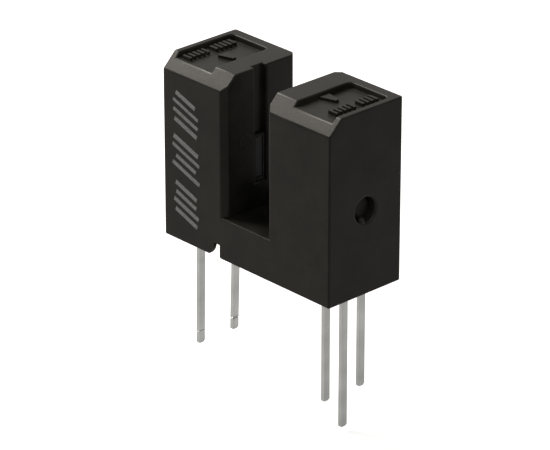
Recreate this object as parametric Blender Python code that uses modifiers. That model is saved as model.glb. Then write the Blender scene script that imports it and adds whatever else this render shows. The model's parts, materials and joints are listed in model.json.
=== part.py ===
"""Slotted optical switch for a circuit board.

A U-shaped housing carries an infrared emitter in one tower and a three-lead detector in the
other. They look at each other across the slot through a narrow slit in each inner wall.

Lengths are in millimetres, and every piece stands on an empty that is scaled to make them
metres. The origin is the centre of the housing's underside, +Z is up and the leads point down. The slot runs along Y. The
emitter's tower stands at -X and the detector's at +X. In the code a place across the part is
a distance from the slot's middle plane, and side is -1 for the emitter and +1 for the detector.
"""

import math

import bmesh
import bpy
from mathutils import Matrix, Vector

MM = 0.001
WELD = 1e-5
CUT_OVERRUN = 0.5

# Housing, outside
HOUSING_WIDTH = 12.2
HOUSING_DEPTH = 5.0
HOUSING_HEIGHT = 10.0
BRIDGE_HEIGHT = 2.3
SLOT_WIDTH = 3.0
SLOT_EDGE_CHAMFER = 0.3
TOP_CHAMFER = 0.8
BACK_EDGE_RADIUS = 0.15
FRONT_EDGE_RADIUS = 0.1
EDGE_SOFTENING = 0.05
SHARP_ANGLE = math.radians(40)

# Notch that frees the emitter's foot from the bridge
NOTCH_WIDTH = 0.43
NOTCH_HEIGHT = 0.76
NOTCH_INSET = 1.9
NOTCH_FOOT_RADIUS = 0.6
NOTCH_BRIDGE_RADIUS = 0.12

# Shallow recess in the top of each tower
RECESS_DEPTH = 0.28
RECESS_RIM = 0.4
RECESS_WIDTH = 2.7
RECESS_BACK_RIM = 0.63
RECESS_CORNER = 0.25

# Light path through each inner wall
OPTICAL_AXIS_HEIGHT = 5.0
GROOVE_WIDTH = 0.8
GROOVE_DEPTH = 0.3
WINDOW_HEIGHT = 2.6
WINDOW_DEPTH = 0.1
SLIT_WIDTH = 0.5
SLIT_HEIGHT = 2.2
SLIT_WALL = 0.4

# Round mark of the mould's ejector pin beside the emitter's groove
EJECTOR_MARK_RADIUS = 0.4
EJECTOR_MARK_DEPTH = 0.04
EJECTOR_MARK_OFFSET = 1.05
EJECTOR_MARK_HEIGHT = 6.2

# Pocket that each capsule is pushed into from beneath, and the hole its boss snaps into
END_WALL = 0.95
SIDE_WALL = 0.3
MOUTH_FLARE = 0.2
MOUTH_HEIGHT = 1.2
POCKET_CORNER = 0.2
SNAP_HOLE_RADIUS = 0.68
SNAP_HOLE_HEIGHT = 4.6
SNAP_HOLE_RIM = 0.15

# Capsules: a moulded body with a lens on the slot's side and a boss on the end's side
CAPSULE_FIT = 0.05
CAPSULE_LIFT = 0.5
CAPSULE_ABOVE_AXIS = 1.9
CAPSULE_EDGE = 0.15
LENS_RADIUS = 0.95
LENS_HEIGHT = 0.5
BOSS_FIT = 0.08
BOSS_REACH = 0.18
BOSS_CROWN = 0.06

# Leads
EMITTER_LEAD_INSET = 1.36
DETECTOR_LEAD_INSET = 1.52
LEAD_PITCH = 2.45
LEAD_WIDTH = 0.4
LEAD_THICKNESS = 0.25
LEAD_LENGTH = 6.05
MIDDLE_LEAD_EXTRA = 1.9
LEAD_TIP_CHAMFER = 0.1
LEAD_FIT = 0.02
SHOULDER_WIDTH = 0.48
SHOULDER_LENGTH = 0.65
SHOULDER_TOP = 0.2
NICK_HEIGHT = 0.6
NICK_SIZE = 0.03

# Lead frame inside the capsules
PADDLE_HEIGHT = 1.5
PADDLE_HALF_WIDTH = 0.6
POST_HEIGHT = 0.9
POST_HALF_WIDTH = 0.3
FRAME_GAP = 0.2

# Chips, their bonds and wires
EMITTER_CHIP = 0.32
DETECTOR_CHIP = 0.86
CHIP_THICKNESS = 0.18
BOND_THICKNESS = 0.02
BOND_MARGIN = 0.04
SEAT_GAP = 0.01
WIRE_RADIUS = 0.015
WIRE_LOOP = 0.14
WIRE_LEAN = 0.7
WIRE_STEPS = 8
WIRE_EDGE = 0.08
CHIP_ROOM_DEPTH = 0.62
CHIP_ROOM_MARGIN = 0.1

LENS_SEGMENTS = 32
ARC_STEPS = 8
CORNER_STEPS = 4

# Places that follow from the sizes above
END_FACE = HOUSING_WIDTH / 2
INNER_FACE = SLOT_WIDTH / 2
BACK_FACE = HOUSING_DEPTH / 2
GROOVE_FLOOR = INNER_FACE + GROOVE_DEPTH
WINDOW_FLOOR = GROOVE_FLOOR + WINDOW_DEPTH
POCKET_IN = WINDOW_FLOOR + SLIT_WALL
POCKET_OUT = END_FACE - END_WALL
POCKET_HALF_WIDTH = BACK_FACE - SIDE_WALL
CAPSULE_FRONT = POCKET_IN + CAPSULE_FIT + LENS_HEIGHT
CAPSULE_BACK = POCKET_OUT - CAPSULE_FIT
CAPSULE_HALF_WIDTH = POCKET_HALF_WIDTH - CAPSULE_FIT
CAPSULE_TOP = OPTICAL_AXIS_HEIGHT + CAPSULE_ABOVE_AXIS
POCKET_TOP = CAPSULE_TOP + CAPSULE_FIT
PADDLE_BOTTOM = OPTICAL_AXIS_HEIGHT - PADDLE_HEIGHT / 2
POST_BOTTOM = OPTICAL_AXIS_HEIGHT - POST_HEIGHT / 2

EMITTER = -1
DETECTOR = 1
TOWERS = ((EMITTER, "emitter"), (DETECTOR, "detector"))
LEAD_PLANE = {EMITTER: END_FACE - EMITTER_LEAD_INSET, DETECTOR: END_FACE - DETECTOR_LEAD_INSET}
BENCH = "millimetres"


def new_collection(name):
    """Make a collection and link it to the scene."""
    collection = bpy.data.collections.new(name)
    bpy.context.scene.collection.children.link(collection)
    return collection


def make_material(name, color, roughness, metallic=0.0):
    """Make a Principled material from a linear colour, a roughness and a metallic value."""
    material = bpy.data.materials.new(name)
    material.use_nodes = True
    shader = material.node_tree.nodes["Principled BSDF"]
    shader.inputs["Base Color"].default_value = (*color, 1.0)
    shader.inputs["Roughness"].default_value = roughness
    shader.inputs["Metallic"].default_value = metallic
    return material


def make_bench():
    """Make the empty that carries every piece and turns millimetres into metres."""
    bench = bpy.data.objects.new(BENCH, None)
    bench.scale = (MM, MM, MM)
    bpy.context.scene.collection.objects.link(bench)


def as_object(name, mesh, collection):
    """Put a mesh on the bench as an object of its own."""
    piece = bpy.data.objects.new(name, mesh)
    piece.parent = bpy.data.objects[BENCH]
    collection.objects.link(piece)
    return piece


def as_cutter(piece):
    """Mark an object as a cutter, which shapes others and isn't part of the model."""
    piece.hide_render = True
    piece.display_type = "WIRE"
    return piece


def add_boolean(piece, other, operation="DIFFERENCE"):
    """Cut another object out of this one, or join it on."""
    modifier = piece.modifiers.new(operation.title() + " " + other.name, "BOOLEAN")
    modifier.operation = operation
    modifier.object = other
    modifier.solver = "EXACT"


def box(name, low, high, collection, corner_radius=0.0):
    """Make a box between two corners, with its upright edges rounded if asked."""
    size = Vector(high) - Vector(low)
    middle = (Vector(high) + Vector(low)) / 2
    shape = bmesh.new()
    bmesh.ops.create_cube(shape, size=1.0)
    bmesh.ops.scale(shape, vec=size, verts=shape.verts)
    bmesh.ops.translate(shape, vec=middle, verts=shape.verts)
    if corner_radius:
        upright = [edge for edge in shape.edges if runs_along(edge, 2)]
        round_edges(shape, upright, corner_radius, CORNER_STEPS)
    return finish_mesh(name, shape, collection)


def runs_along(edge, axis):
    """Tell whether an edge runs along one axis."""
    step = edge.verts[1].co - edge.verts[0].co
    return abs(abs(step[axis]) - step.length) < WELD


def round_edges(shape, edges, radius, steps):
    """Round some edges of a mesh to a radius."""
    bmesh.ops.bevel(
        shape,
        geom=edges,
        offset=radius,
        offset_type="OFFSET",
        segments=steps,
        profile=0.5,
        affect="EDGES",
    )


def finish_mesh(name, shape, collection):
    """Turn a bmesh into an object."""
    mesh = bpy.data.meshes.new(name)
    shape.to_mesh(mesh)
    shape.free()
    return as_object(name, mesh, collection)


def arc(centre, radius, start, end, steps=ARC_STEPS):
    """Work out the points of an arc in a plane, with its angles in degrees."""
    points = []
    for step in range(steps + 1):
        angle = math.radians(start + (end - start) * step / steps)
        points.append((centre[0] + radius * math.cos(angle), centre[1] + radius * math.sin(angle)))
    return points


def plate(name, outline, low, high, plane, collection):
    """Extrude a flat outline between two levels across its plane.

    The outline is in the plane XY, XZ or YZ, and the levels are along the third axis.
    """
    curve = bpy.data.curves.new(name, "CURVE")
    curve.dimensions = "2D"
    curve.fill_mode = "NONE"
    curve.extrude = (high - low) / 2
    spline = curve.splines.new("POLY")
    spline.points.add(len(outline) - 1)
    for point, place in zip(spline.points, outline):
        point.co = (*place, 0.0, 1.0)
    spline.use_cyclic_u = True
    turns = {
        "XY": Matrix.Identity(4),
        "XZ": Matrix.Rotation(math.pi / 2, 4, "X"),
        "YZ": Matrix.Rotation(math.pi / 2, 4, "Z") @ Matrix.Rotation(math.pi / 2, 4, "X"),
    }
    lifts = {"XY": Vector((0, 0, 1)), "XZ": Vector((0, 1, 0)), "YZ": Vector((1, 0, 0))}
    lift = lifts[plane] * (high + low) / 2
    return mesh_from_curve(name, curve, Matrix.Translation(lift) @ turns[plane], collection)


def mesh_from_curve(name, curve, place, collection):
    """Turn a curve into a closed mesh object with its place in the mesh."""
    drawing = as_object(name + "_curve", curve, collection)
    bpy.context.view_layer.update()
    graph = bpy.context.evaluated_depsgraph_get()
    mesh = bpy.data.meshes.new_from_object(drawing.evaluated_get(graph))
    bpy.data.objects.remove(drawing)
    bpy.data.curves.remove(curve)
    shape = bmesh.new()
    shape.from_mesh(mesh)
    bmesh.ops.remove_doubles(shape, verts=shape.verts, dist=WELD)
    bmesh.ops.holes_fill(shape, edges=shape.edges, sides=0)
    bmesh.ops.transform(shape, matrix=place, verts=shape.verts)
    bmesh.ops.recalc_face_normals(shape, faces=shape.faces)
    bpy.data.meshes.remove(mesh)
    return finish_mesh(name, shape, collection)


def turned(name, profile, base, side, height, collection):
    """Turn a profile about an axis that runs along X.

    Args:
        profile: pairs of a radius and a reach, from the rim at the base to the crown. The
            reach is measured from the base towards the slot.
        base: distance of the base from the slot's middle plane.
        side: -1 for the emitter's tower, +1 for the detector's.
        height: height of the axis.
    """
    shape = bmesh.new()
    full = [(0.0, profile[0][1])] + list(profile)
    verts = [shape.verts.new((radius, 0.0, reach)) for radius, reach in reversed(full)]
    for first, second in zip(verts, verts[1:]):
        shape.edges.new((first, second))
    piece = finish_mesh(name, shape, collection)
    screw = piece.modifiers.new("Turn", "SCREW")
    screw.steps = LENS_SEGMENTS
    screw.render_steps = LENS_SEGMENTS
    screw.use_merge_vertices = True
    screw.merge_threshold = WELD
    towards_slot = Matrix.Rotation(-side * math.pi / 2, 4, "Y")
    piece.matrix_basis = Matrix.Translation((side * base, 0, height)) @ towards_slot
    return piece


def lead_front(side):
    """Give the distance from the middle plane to the lead frame's slot side."""
    return LEAD_PLANE[side] - LEAD_THICKNESS / 2


def chip_back(side):
    """Give the distance from the middle plane to a chip's mounted side."""
    return lead_front(side) - 2 * SEAT_GAP - BOND_THICKNESS


def across(side, first, second):
    """Give the low and high X of a span that is stated as distances from the middle plane."""
    return sorted((side * first, side * second))


# Housing


def make_housing(parts, cutters, material):
    """Model the one-piece moulded housing."""
    housing = plate("housing", housing_plan(), 0.0, HOUSING_HEIGHT, "XY", parts)
    housing.data.materials.append(material)
    add_boolean(housing, slot_cutter(cutters))
    add_boolean(housing, top_chamfer_cutter(cutters))
    for side, tower in TOWERS:
        add_boolean(housing, recess_cutter(side, tower, cutters))
    soften(housing)
    add_boolean(housing, notch_cutter(cutters))
    for side, tower in TOWERS:
        for cutter in light_path_cutters(side, tower, cutters):
            add_boolean(housing, cutter)
        add_boolean(housing, pocket_cutter(side, tower, cutters))
        add_boolean(housing, mouth_cutter(side, tower, cutters))
        add_boolean(housing, snap_hole_cutter(side, tower, cutters))
    add_boolean(housing, ejector_mark_cutter(cutters))
    return housing


def housing_plan():
    """Draw the housing's outline from above, with its upright edges rounded."""
    outline = []
    for x, y, radius, start in (
        (1, 1, BACK_EDGE_RADIUS, 0),
        (-1, 1, BACK_EDGE_RADIUS, 90),
        (-1, -1, FRONT_EDGE_RADIUS, 180),
        (1, -1, FRONT_EDGE_RADIUS, 270),
    ):
        centre = (x * (END_FACE - radius), y * (BACK_FACE - radius))
        outline += arc(centre, radius, start, start + 90, CORNER_STEPS)
    return outline


def soften(piece):
    """Break the sharp edges of the main form a little, as a mould does."""
    modifier = piece.modifiers.new("Soft edges", "BEVEL")
    modifier.width = EDGE_SOFTENING
    modifier.segments = 1
    modifier.limit_method = "ANGLE"
    modifier.angle_limit = SHARP_ANGLE
    modifier.use_clamp_overlap = False


def slot_cutter(cutters):
    """Cut the slot, whose four upright edges are chamfered."""
    half = INNER_FACE
    wide = half + SLOT_EDGE_CHAMFER + CUT_OVERRUN
    start = BACK_FACE - SLOT_EDGE_CHAMFER
    end = BACK_FACE + CUT_OVERRUN
    outline = [
        (-half, -start),
        (-wide, -end),
        (wide, -end),
        (half, -start),
        (half, start),
        (wide, end),
        (-wide, end),
        (-half, start),
    ]
    top = HOUSING_HEIGHT + CUT_OVERRUN
    return as_cutter(plate("slot_cutter", outline, BRIDGE_HEIGHT, top, "XY", cutters))


def top_chamfer_cutter(cutters):
    """Slope the top of both towers at the front."""
    reach = TOP_CHAMFER + CUT_OVERRUN
    front = -BACK_FACE
    outline = [
        (front - CUT_OVERRUN, HOUSING_HEIGHT - reach),
        (front + reach, HOUSING_HEIGHT + CUT_OVERRUN),
        (front - CUT_OVERRUN, HOUSING_HEIGHT + CUT_OVERRUN),
    ]
    end = END_FACE + CUT_OVERRUN
    return as_cutter(plate("top_chamfer_cutter", outline, -end, end, "YZ", cutters))


def notch_cutter(cutters):
    """Cut the notch beside the emitter's foot, whose corner is round."""
    right = -NOTCH_INSET
    left = right - NOTCH_WIDTH
    foot = arc((left - NOTCH_FOOT_RADIUS, NOTCH_FOOT_RADIUS), NOTCH_FOOT_RADIUS, -90, 0)
    bridge = arc((right + NOTCH_BRIDGE_RADIUS, NOTCH_BRIDGE_RADIUS), NOTCH_BRIDGE_RADIUS, 180, 270)
    outline = [(foot[0][0], -CUT_OVERRUN)]
    outline += foot
    outline += [(left, NOTCH_HEIGHT), (right, NOTCH_HEIGHT)]
    outline += bridge
    outline += [(bridge[-1][0], -CUT_OVERRUN)]
    end = BACK_FACE + CUT_OVERRUN
    return as_cutter(plate("notch_cutter", outline, -end, end, "XZ", cutters))


def light_path_cutters(side, tower, cutters):
    """Cut the groove, the window at its foot and the slit through the window's floor."""
    return [
        groove_cutter(side, tower, cutters),
        window_cutter(side, tower, cutters),
        slit_cutter(side, tower, cutters),
    ]


def recess_cutter(side, tower, cutters):
    """Sink the top of a tower inside a rim that is open at the front."""
    outer = END_FACE - RECESS_RIM
    low, high = across(side, outer - RECESS_WIDTH, outer)
    back = BACK_FACE - RECESS_BACK_RIM
    radius = RECESS_CORNER
    outline = [(low, -BACK_FACE - CUT_OVERRUN), (high, -BACK_FACE - CUT_OVERRUN)]
    outline += arc((high - radius, back - radius), radius, 0, 90, CORNER_STEPS)
    outline += arc((low + radius, back - radius), radius, 90, 180, CORNER_STEPS)
    floor = HOUSING_HEIGHT - RECESS_DEPTH
    top = HOUSING_HEIGHT + CUT_OVERRUN
    return as_cutter(plate(tower + "_recess_cutter", outline, floor, top, "XY", cutters))


def groove_cutter(side, tower, cutters):
    """Cut the groove that runs from the top of a tower down to its window."""
    low, high = across(side, INNER_FACE - CUT_OVERRUN, GROOVE_FLOOR)
    bottom = OPTICAL_AXIS_HEIGHT - WINDOW_HEIGHT / 2
    start = (low, -GROOVE_WIDTH / 2, bottom)
    end = (high, GROOVE_WIDTH / 2, HOUSING_HEIGHT + CUT_OVERRUN)
    return as_cutter(box(tower + "_groove_cutter", start, end, cutters))


def window_cutter(side, tower, cutters):
    """Thin the groove's floor round the slit."""
    low, high = across(side, INNER_FACE - CUT_OVERRUN, WINDOW_FLOOR)
    start = (low, -GROOVE_WIDTH / 2, OPTICAL_AXIS_HEIGHT - WINDOW_HEIGHT / 2)
    end = (high, GROOVE_WIDTH / 2, OPTICAL_AXIS_HEIGHT + WINDOW_HEIGHT / 2)
    return as_cutter(box(tower + "_window_cutter", start, end, cutters))


def slit_cutter(side, tower, cutters):
    """Cut the slit that lets the beam through the inner wall."""
    low, high = across(side, INNER_FACE, POCKET_IN + CAPSULE_FIT)
    start = (low, -SLIT_WIDTH / 2, OPTICAL_AXIS_HEIGHT - SLIT_HEIGHT / 2)
    end = (high, SLIT_WIDTH / 2, OPTICAL_AXIS_HEIGHT + SLIT_HEIGHT / 2)
    return as_cutter(box(tower + "_slit_cutter", start, end, cutters))


def pocket_cutter(side, tower, cutters):
    """Hollow a tower from beneath for its capsule."""
    low, high = across(side, POCKET_IN, POCKET_OUT)
    start = (low, -POCKET_HALF_WIDTH, -CUT_OVERRUN)
    end = (high, POCKET_HALF_WIDTH, POCKET_TOP)
    return as_cutter(box(tower + "_pocket_cutter", start, end, cutters, POCKET_CORNER))


def mouth_cutter(side, tower, cutters):
    """Flare the pocket's mouth, which leads the capsule in."""
    low, high = across(side, POCKET_IN, POCKET_OUT)
    start = (low, -POCKET_HALF_WIDTH, -MOUTH_HEIGHT)
    end = (high, POCKET_HALF_WIDTH, MOUTH_HEIGHT)
    cutter = box(tower + "_mouth_cutter", start, end, cutters, POCKET_CORNER)
    middle = (low + high) / 2
    for vertex in cutter.data.vertices:
        if vertex.co.z < 0:
            vertex.co.x += math.copysign(2 * MOUTH_FLARE, vertex.co.x - middle)
            vertex.co.y += math.copysign(2 * MOUTH_FLARE, vertex.co.y)
    return as_cutter(cutter)


def snap_hole_cutter(side, tower, cutters):
    """Bore the end wall for the capsule's boss, with a rounded rim."""
    reach = END_WALL + CAPSULE_FIT
    wide = SNAP_HOLE_RADIUS + SNAP_HOLE_RIM
    profile = [(wide, -CUT_OVERRUN)]
    profile += arc((wide, SNAP_HOLE_RIM), SNAP_HOLE_RIM, -90, -180)
    profile += [(SNAP_HOLE_RADIUS, reach), (0.0, reach)]
    name = tower + "_snap_hole_cutter"
    return as_cutter(turned(name, profile, END_FACE, side, SNAP_HOLE_HEIGHT, cutters))


def ejector_mark_cutter(cutters):
    """Press the round mark into the emitter tower's inner face."""
    profile = [
        (EJECTOR_MARK_RADIUS, 0.0),
        (EJECTOR_MARK_RADIUS, EJECTOR_MARK_DEPTH + CUT_OVERRUN),
        (0.0, EJECTOR_MARK_DEPTH + CUT_OVERRUN),
    ]
    base = INNER_FACE + EJECTOR_MARK_DEPTH
    cutter = turned("ejector_mark_cutter", profile, base, EMITTER, EJECTOR_MARK_HEIGHT, cutters)
    cutter.location.y = -EJECTOR_MARK_OFFSET
    return as_cutter(cutter)


# Leads and lead frame


class Lead:
    """One flat lead with its head, which is the chip's paddle or a post for a wire."""

    def __init__(self, name, side, offset, head, length=LEAD_LENGTH, nicked=False):
        """Describe the lead.

        Args:
            name: the piece's name.
            side: the tower that it stands in.
            offset: its place along Y.
            head: the head's low Y, low Z, high Y and high Z.
            length: its reach below the housing.
            nicked: whether its edges have the small nicks above the tip.
        """
        self.name = name
        self.nicked = nicked
        self.side = side
        self.offset = offset
        self.head = head
        self.length = length

    def outline(self, grow=0.0):
        """Draw the lead's outline in the plane YZ, grown by a clearance if asked."""
        low_y, low_z, high_y, high_z = self.head
        half = LEAD_WIDTH / 2 + grow
        chamfer = LEAD_TIP_CHAMFER
        shoulder = SHOULDER_WIDTH / 2 + grow
        tip = -self.length - grow
        nick = tip + NICK_HEIGHT
        right = [(half - chamfer, tip), (half, tip + chamfer)]
        if self.nicked:
            right += [(half, nick - NICK_SIZE), (half - NICK_SIZE, nick), (half, nick + NICK_SIZE)]
        slope = shoulder - half
        right += [
            (half, -SHOULDER_LENGTH - slope - grow),
            (shoulder, -SHOULDER_LENGTH - grow),
            (shoulder, SHOULDER_TOP + grow),
            (half, SHOULDER_TOP + slope + grow),
            (half, low_z - grow),
        ]
        left = [(-y, z) for y, z in reversed(right)]
        points = [(self.offset + y, z) for y, z in right]
        points += [(high_y + grow, low_z - grow), (high_y + grow, high_z + grow)]
        points += [(low_y - grow, high_z + grow), (low_y - grow, low_z - grow)]
        points += [(self.offset + y, z) for y, z in left]
        return points

    def build(self, parts, material):
        """Stamp the lead out of its strip."""
        low, high = self.span(0.0)
        lead = plate(self.name, self.outline(), low, high, "YZ", parts)
        lead.data.materials.append(material)
        return lead

    def channel(self, cutters):
        """Make the space that the capsule leaves for the lead."""
        low, high = self.span(LEAD_FIT)
        return as_cutter(plate(self.name + "_channel", self.outline(LEAD_FIT), low, high, "YZ", cutters))

    def span(self, grow):
        """Give the lead's low and high X."""
        half = LEAD_THICKNESS / 2 + grow
        return across(self.side, LEAD_PLANE[self.side] - half, LEAD_PLANE[self.side] + half)


def paddle_head(low_y, high_y):
    """Give the corners of a paddle that is centred on the optical axis."""
    return (low_y, PADDLE_BOTTOM, high_y, PADDLE_BOTTOM + PADDLE_HEIGHT)


def post_head(offset, inward):
    """Give the corners of a post beside the paddle, which faces it on one side."""
    near = PADDLE_HALF_WIDTH + FRAME_GAP
    far = abs(offset) + POST_HALF_WIDTH
    low_y, high_y = sorted((-inward * near, -inward * far))
    return (low_y, POST_BOTTOM, high_y, POST_BOTTOM + POST_HEIGHT)


def make_leads():
    """Lay out the five leads: two at the emitter, three at the detector."""
    row = LEAD_PITCH / 2
    reach = row + POST_HALF_WIDTH
    return {
        "cathode_lead": Lead(
            "cathode_lead",
            EMITTER,
            -row,
            paddle_head(-reach, PADDLE_HALF_WIDTH),
            nicked=True,
        ),
        "anode_lead": Lead("anode_lead", EMITTER, row, post_head(row, -1), nicked=True),
        "supply_lead": Lead("supply_lead", DETECTOR, -row, post_head(-row, 1)),
        "ground_lead": Lead(
            "ground_lead",
            DETECTOR,
            0.0,
            paddle_head(-PADDLE_HALF_WIDTH, PADDLE_HALF_WIDTH),
            LEAD_LENGTH + MIDDLE_LEAD_EXTRA,
        ),
        "output_lead": Lead("output_lead", DETECTOR, row, post_head(row, -1)),
    }


# Capsules, chips and wires


def make_capsule(name, side, leads, parts, cutters, material):
    """Mould a capsule round its leads and chip, with a lens and a snap boss."""
    low, high = across(side, CAPSULE_FRONT, CAPSULE_BACK)
    start = (low, -CAPSULE_HALF_WIDTH, CAPSULE_LIFT)
    end = (high, CAPSULE_HALF_WIDTH, CAPSULE_TOP)
    capsule = box(name, start, end, parts, POCKET_CORNER + CAPSULE_FIT)
    capsule.data.materials.append(material)
    add_boolean(capsule, as_cutter(lens_shape(name, side, cutters)), "UNION")
    add_boolean(capsule, as_cutter(boss_shape(name, side, cutters)), "UNION")
    for lead in leads:
        add_boolean(capsule, lead.channel(cutters))
    add_boolean(capsule, chip_room(name, side, leads, cutters))
    return capsule


def lens_shape(name, side, cutters):
    """Shape the domed lens that stands on the capsule's slot side."""
    sphere = (LENS_RADIUS ** 2 + LENS_HEIGHT ** 2) / (2 * LENS_HEIGHT)
    edge = math.degrees(math.asin(LENS_RADIUS / sphere))
    dome = arc((0.0, LENS_HEIGHT - sphere), sphere, 90 - edge, 90)
    root = [(LENS_RADIUS, -CAPSULE_EDGE)]
    profile = root + dome
    return turned(name + "_lens", profile, CAPSULE_FRONT, side, OPTICAL_AXIS_HEIGHT, cutters)


def boss_shape(name, side, cutters):
    """Shape the round boss with a crowned end that snaps into the end wall."""
    radius = SNAP_HOLE_RADIUS - BOSS_FIT
    profile = [
        (radius, -CAPSULE_EDGE),
        (radius, BOSS_REACH - BOSS_CROWN),
        (radius - BOSS_CROWN, BOSS_REACH - BOSS_CROWN / 3),
        (radius / 2, BOSS_REACH),
        (0.0, BOSS_REACH),
    ]
    boss = turned(name + "_boss", profile, CAPSULE_BACK, side, SNAP_HOLE_HEIGHT, cutters)
    boss.matrix_basis = boss.matrix_basis @ Matrix.Rotation(math.pi, 4, "X")
    return boss


def chip_room(name, side, leads, cutters):
    """Make the space in front of the lead frame that holds the chip and its wires."""
    low, high = across(side, LEAD_PLANE[side], lead_front(side) - CHIP_ROOM_DEPTH)
    heads = [lead.head for lead in leads]
    low_y = min(head[0] for head in heads) + CHIP_ROOM_MARGIN
    high_y = max(head[2] for head in heads) - CHIP_ROOM_MARGIN
    half = PADDLE_HEIGHT / 2 - CHIP_ROOM_MARGIN
    start = (low, low_y, OPTICAL_AXIS_HEIGHT - half)
    end = (high, high_y, OPTICAL_AXIS_HEIGHT + half)
    return as_cutter(box(name + "_chip_room", start, end, cutters))


def make_chip(name, side, size, parts, material):
    """Place a square chip on its paddle, centred on the optical axis."""
    back = chip_back(side)
    low, high = across(side, back - CHIP_THICKNESS, back)
    return square_piece(name, low, high, size, parts, material)


def make_die_bond(name, side, size, parts, material):
    """Spread the thin bond between a chip and its paddle."""
    near = lead_front(side) - SEAT_GAP
    low, high = across(side, near - BOND_THICKNESS, near)
    return square_piece(name, low, high, size + 2 * BOND_MARGIN, parts, material)


def square_piece(name, low, high, size, parts, material):
    """Make a flat square piece that faces along X on the optical axis."""
    half = size / 2
    start = (low, -half, OPTICAL_AXIS_HEIGHT - half)
    end = (high, half, OPTICAL_AXIS_HEIGHT + half)
    piece = box(name, start, end, parts)
    piece.data.materials.append(material)
    return piece


def make_wire(name, side, start, end, parts, material):
    """Loop a bond wire from a chip's face to the lead frame.

    Args:
        start: the Y and Z where the wire leaves the chip.
        end: the Y and Z where it lands on the lead frame.
    """
    lift = WIRE_RADIUS + SEAT_GAP
    leave = chip_back(side) - CHIP_THICKNESS - lift
    land = lead_front(side) - lift
    points = []
    for step in range(WIRE_STEPS + 1):
        share = step / WIRE_STEPS
        loop = WIRE_LOOP * math.sin(math.pi * share ** WIRE_LEAN)
        reach = leave * (1 - share) + land * share - loop
        y = start[0] + (end[0] - start[0]) * share
        z = start[1] + (end[1] - start[1]) * share
        points.append((side * reach, y, z))
    curve = bpy.data.curves.new(name, "CURVE")
    curve.dimensions = "3D"
    curve.bevel_depth = WIRE_RADIUS
    curve.bevel_resolution = 1
    curve.use_fill_caps = True
    spline = curve.splines.new("POLY")
    spline.points.add(len(points) - 1)
    for point, place in zip(spline.points, points):
        point.co = (*place, 1.0)
    wire = mesh_from_curve(name, curve, Matrix.Identity(4), parts)
    wire.data.materials.append(material)
    return wire


def make_emitter(leads, parts, cutters, materials):
    """Build the emitter: capsule, two leads, chip, bond and wire."""
    own = [leads["cathode_lead"], leads["anode_lead"]]
    make_capsule("emitter_capsule", EMITTER, own, parts, cutters, materials["clear_epoxy"])
    for lead in own:
        lead.build(parts, materials["tin"])
    make_chip("emitter_chip", EMITTER, EMITTER_CHIP, parts, materials["chip"])
    make_die_bond("emitter_die_bond", EMITTER, EMITTER_CHIP, parts, materials["silver_epoxy"])
    landing = (POST_HALF_WIDTH + PADDLE_HALF_WIDTH, OPTICAL_AXIS_HEIGHT)
    middle = (0.0, OPTICAL_AXIS_HEIGHT)
    make_wire("emitter_bond_wire", EMITTER, middle, landing, parts, materials["gold"])


def make_detector(leads, parts, cutters, materials):
    """Build the detector: capsule, three leads, chip, bond and three wires."""
    own = [leads["supply_lead"], leads["ground_lead"], leads["output_lead"]]
    make_capsule("detector_capsule", DETECTOR, own, parts, cutters, materials["dark_epoxy"])
    for lead in own:
        lead.build(parts, materials["tin"])
    make_chip("detector_chip", DETECTOR, DETECTOR_CHIP, parts, materials["chip"])
    make_die_bond("detector_die_bond", DETECTOR, DETECTOR_CHIP, parts, materials["silver_epoxy"])
    edge = DETECTOR_CHIP / 2 - WIRE_EDGE
    landing = POST_HALF_WIDTH + PADDLE_HALF_WIDTH
    for name, towards in (("supply_bond_wire", -1), ("output_bond_wire", 1)):
        start = (towards * edge, OPTICAL_AXIS_HEIGHT)
        end = (towards * landing, OPTICAL_AXIS_HEIGHT)
        make_wire(name, DETECTOR, start, end, parts, materials["gold"])
    start = (0.0, OPTICAL_AXIS_HEIGHT - edge)
    end = (0.0, PADDLE_BOTTOM + WIRE_EDGE)
    make_wire("ground_bond_wire", DETECTOR, start, end, parts, materials["gold"])


def make_materials():
    """Make the finishes, with linear colours."""
    return {
        "housing": make_material("black_moulded_nylon", (0.022, 0.020, 0.018), 0.55),
        "clear_epoxy": make_material("tinted_emitter_epoxy", (0.09, 0.07, 0.08), 0.2),
        "dark_epoxy": make_material("infrared_black_epoxy", (0.012, 0.010, 0.012), 0.2),
        "tin": make_material("tin_plated_lead", (0.56, 0.55, 0.53), 0.35, 1.0),
        "chip": make_material("silicon_chip", (0.12, 0.13, 0.16), 0.25, 0.6),
        "silver_epoxy": make_material("silver_filled_epoxy", (0.55, 0.55, 0.55), 0.5, 0.8),
        "gold": make_material("gold_wire", (0.85, 0.62, 0.25), 0.25, 1.0),
    }


def main():
    """Build the whole switch."""
    for piece in list(bpy.data.objects):
        bpy.data.objects.remove(piece)
    parts = new_collection("slotted_optical_switch")
    cutters = new_collection("cutters")
    make_bench()
    materials = make_materials()
    leads = make_leads()
    make_housing(parts, cutters, materials["housing"])
    make_emitter(leads, parts, cutters, materials)
    make_detector(leads, parts, cutters, materials)


main()
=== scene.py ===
"""Dress the slotted optical switch and light it for its picture.

The part is a U-shaped moulding of black plastic on five tinned leads. The emitter's tower stands on
the left (-X) and the detector's on the right (+X). Sizes here are millimetres unless a name says
otherwise, and a finished mesh is scaled to metres once.
"""

import json
import logging
import math
from dataclasses import dataclass
from enum import Enum
from typing import Any, Iterable, Optional, Sequence

import bmesh
import bpy
from mathutils import Matrix, Vector

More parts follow.
